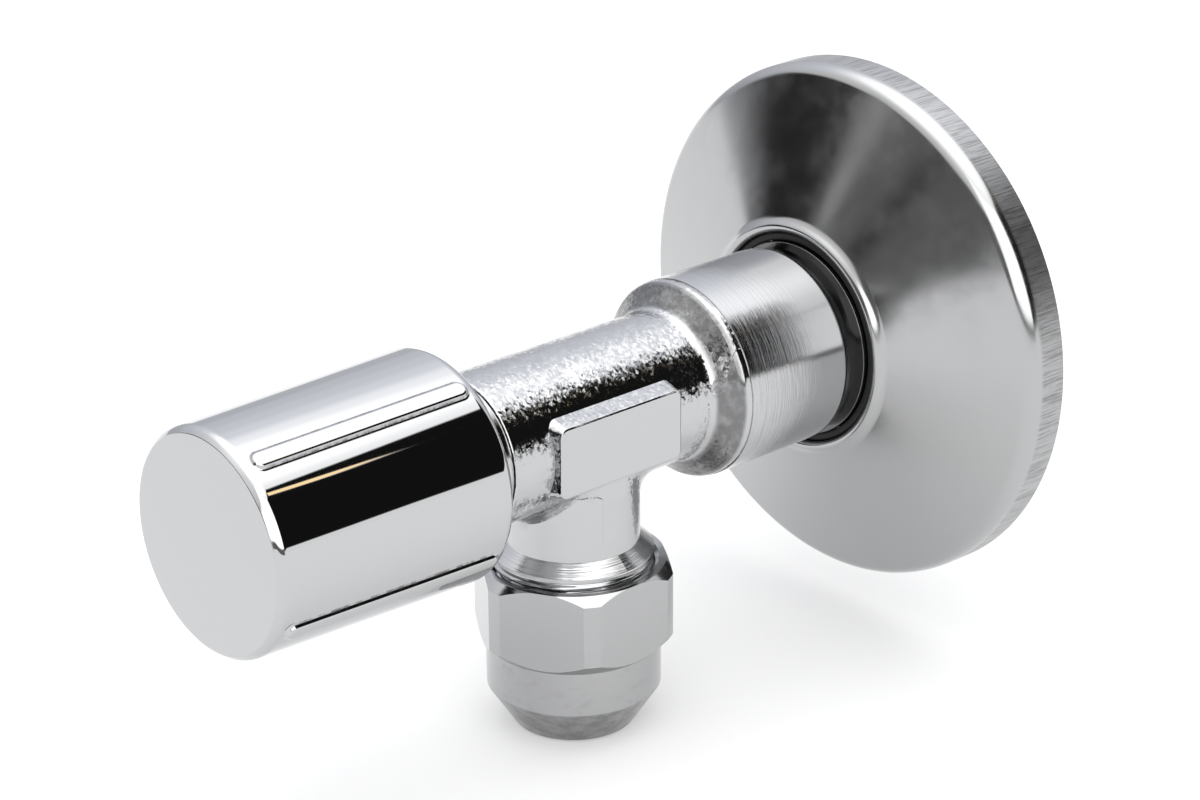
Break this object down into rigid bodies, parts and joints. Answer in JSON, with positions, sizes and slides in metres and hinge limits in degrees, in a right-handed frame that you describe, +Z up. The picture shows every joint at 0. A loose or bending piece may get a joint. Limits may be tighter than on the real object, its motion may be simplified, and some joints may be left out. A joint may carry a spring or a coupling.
{
  "type": "angle valve",
  "caption": "Chrome angle valve: wall thread with a sliding rosette, forged body, ribbed round handle that lifts a plunger off its seat, and a compression nut on the outlet.",
  "frame": {"origin": "where the inlet axis meets the wall plane, on the rosette's rear rim", "axes": "+Y along the inlet axis into the wall, -Y towards the handle, +Z up, -Z along the outlet, +X out of the flat boss"},
  "size_m": [0.0564, 0.0926, 0.0615],
  "materials": {
    "body_chrome": "chrome on forged brass, fine orange-peel skin, turned neck and rims",
    "handle_chrome": "smooth polished chrome",
    "rosette_chrome": "polished chrome on pressed sheet, fine brushing on the skirt",
    "nut_chrome": "chrome on turned brass",
    "brass": "bare turned brass",
    "steel": "bare stainless steel",
    "rubber": "black rubber",
    "fibre": "hard fibre sheet",
    "white_plastic": "white moulded plastic",
    "black_plastic": "black moulded plastic"
  },
  "bodies": {
    "valve": {"valve_body": "body_chrome", "bonnet": "brass", "bonnet_seal_ring": "fibre", "retaining_ring": "steel", "thrust_washer": "white_plastic"},
    "handle": {"handle": "handle_chrome", "handle_insert": "white_plastic", "spindle": "brass", "spindle_o_ring_inner": "rubber", "spindle_o_ring_outer": "rubber"},
    "plunger": {"plunger": "brass", "plunger_o_ring": "rubber", "valve_washer": "rubber", "washer_screw": "steel"},
    "grip_ring": {"rosette_grip_ring": "black_plastic"},
    "rosette": {"wall_rosette": "rosette_chrome"},
    "ring": {"compression_ring": "brass"},
    "nut": {"compression_nut": "nut_chrome"}
  },
  "joints": [
    {"name": "handle_turn", "type": "hinge", "parent": "valve", "child": "handle", "pos_m": [0, -0.06, 0], "axis": [0, -1, 0], "range_deg": [0, 1260]},
    {"name": "plunger_travel", "type": "slide", "parent": "valve", "child": "plunger", "axis": [0, -1, 0], "range_m": [0, 0.00438]},
    {"name": "ring_slide", "type": "slide", "parent": "valve", "child": "ring", "axis": [0, 0, -1], "range_m": [0, 0.00803]},
    {"name": "nut_turn", "type": "hinge", "parent": "ring", "child": "nut", "pos_m": [0, -0.0419, -0.02], "axis": [0, 0, -1], "range_deg": [0, 2160]},
    {"name": "rosette_slide", "type": "slide", "parent": "valve", "child": "grip_ring", "axis": [0, -1, 0], "range_m": [0, 0.014]},
    {"name": "rosette_spin", "type": "hinge", "parent": "grip_ring", "child": "rosette", "pos_m": [0, -0.0105, 0], "axis": [0, -1, 0], "continuous": true}
  ],
  "couplings": [
    {"joint": "plunger_travel", "follows": "handle_turn", "m_per_rad": 0.00019894},
    {"joint": "ring_slide", "follows": "nut_turn", "m_per_rad": 0.00021279}
  ]
}
